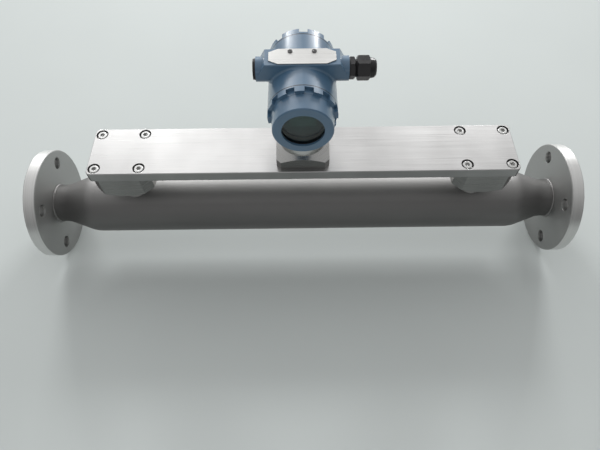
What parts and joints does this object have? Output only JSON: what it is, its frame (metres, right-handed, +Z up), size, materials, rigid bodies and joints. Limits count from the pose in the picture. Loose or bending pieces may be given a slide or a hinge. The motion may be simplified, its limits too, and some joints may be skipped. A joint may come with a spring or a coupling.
{
  "type": "inline density meter",
  "caption": "Flanged inline density meter: a wide measuring tube with pressure blocks joined by a long bridge plate, and a swivelling transmitter head with a windowed display cap.",
  "frame": {"origin": "on the flow axis, half way between the two flange faces", "axes": "+X along the flow from inlet to outlet, +Z up from the tube to the transmitter head, +Y away from the display"},
  "size_m": [0.8, 0.165, 0.3635],
  "materials": {
    "case_steel": "bead-blasted stainless steel",
    "turned_steel": "lathe-turned stainless steel",
    "milled_steel": "satin milled stainless steel",
    "brushed_plate": "lengthwise brushed stainless steel",
    "spring_steel": "bright rolled stainless steel",
    "screw_steel": "plain stainless steel",
    "slate_paint": "satin powder coat",
    "bare_aluminium": "turned, bare",
    "standoff_brass": "nickel-free turned brass",
    "seal_rubber": "matt",
    "gasket_sheet": "matt fibre sheet",
    "window_glass": "clear toughened glass",
    "circuit_board": "solder resist",
    "display_plastic": "moulded, dark",
    "terminal_plastic": "moulded",
    "black_nylon": "moulded nylon"
  },
  "bodies": {
    "meter_body": {"measuring_tube": "case_steel", "inlet_reducer": "case_steel", "outlet_reducer": "case_steel", "inlet_flange": "turned_steel", "outlet_flange": "turned_steel", "upstream_nozzle": "case_steel", "downstream_nozzle": "case_steel", "upstream_block": "milled_steel", "downstream_block": "milled_steel", "upstream_gasket": "gasket_sheet", "downstream_gasket": "gasket_sheet", "upstream_diaphragm": "spring_steel", "downstream_diaphragm": "spring_steel", "upstream_capillary": "spring_steel", "downstream_capillary": "spring_steel", "bridge_plate": "brushed_plate", "channel_cover": "brushed_plate", "plate_screws": "screw_steel", "cover_screws": "screw_steel", "base_screws": "screw_steel", "sensor_base": "milled_steel", "sensor_capsule": "spring_steel", "sensor_board": "circuit_board", "neck_collar": "turned_steel", "neck_seal": "seal_rubber"},
    "head": {"housing": "slate_paint", "swivel_lock_screw": "screw_steel", "board_standoffs": "standoff_brass", "main_board": "circuit_board", "display_standoffs": "standoff_brass", "display_module": "display_plastic", "terminal_block": "terminal_plastic", "terminal_screws": "standoff_brass", "earth_screw": "standoff_brass", "plug_washer": "seal_rubber", "conduit_plug": "black_nylon", "gland_washer": "seal_rubber", "gland_body": "black_nylon", "nameplate": "brushed_plate", "nameplate_screws": "screw_steel"},
    "front_seal": {"front_cap_seal": "seal_rubber"},
    "front_cap": {"front_cap": "slate_paint", "window_gasket": "seal_rubber", "window_glass": "window_glass", "glass_retaining_ring": "bare_aluminium"},
    "rear_seal": {"rear_cap_seal": "seal_rubber"},
    "rear_cap": {"rear_cap": "slate_paint"},
    "gland_seal": {"gland_insert": "seal_rubber"},
    "gland_nut": {"gland_nut": "black_nylon"}
  },
  "joints": [
    {"name": "head_swivel", "type": "hinge", "parent": "meter_body", "child": "head", "pos_m": [0, 0, 0.18], "axis": [0, 0, 1], "range_deg": [-180, 180]},
    {"name": "front_cap_travel", "type": "slide", "parent": "head", "child": "front_seal", "axis": [0, -1, 0], "range_m": [0, 0.0121]},
    {"name": "front_cap_turn", "type": "hinge", "parent": "front_seal", "child": "front_cap", "pos_m": [0, -0.05, 0.2356], "axis": [0, -1, 0], "range_deg": [0, 2160]},
    {"name": "rear_cap_travel", "type": "slide", "parent": "head", "child": "rear_seal", "axis": [0, 1, 0], "range_m": [0, 0.0121]},
    {"name": "rear_cap_turn", "type": "hinge", "parent": "rear_seal", "child": "rear_cap", "pos_m": [0, 0.05, 0.2356], "axis": [0, 1, 0], "range_deg": [0, 2160]},
    {"name": "gland_nut_turn", "type": "hinge", "parent": "head", "child": "gland_seal", "pos_m": [0.07, 0, 0.2615], "axis": [1, 0, 0], "range_deg": [0, 1800]},
    {"name": "gland_nut_travel", "type": "slide", "parent": "gland_seal", "child": "gland_nut", "axis": [1, 0, 0], "range_m": [0, 0.0076]}
  ],
  "couplings": [
    {"joint": "front_cap_travel", "follows": "front_cap_turn", "m_per_rad": 0.00031831},
    {"joint": "rear_cap_travel", "follows": "rear_cap_turn", "m_per_rad": 0.00031831},
    {"joint": "gland_nut_travel", "follows": "gland_nut_turn", "m_per_rad": 0.00023873}
  ]
}
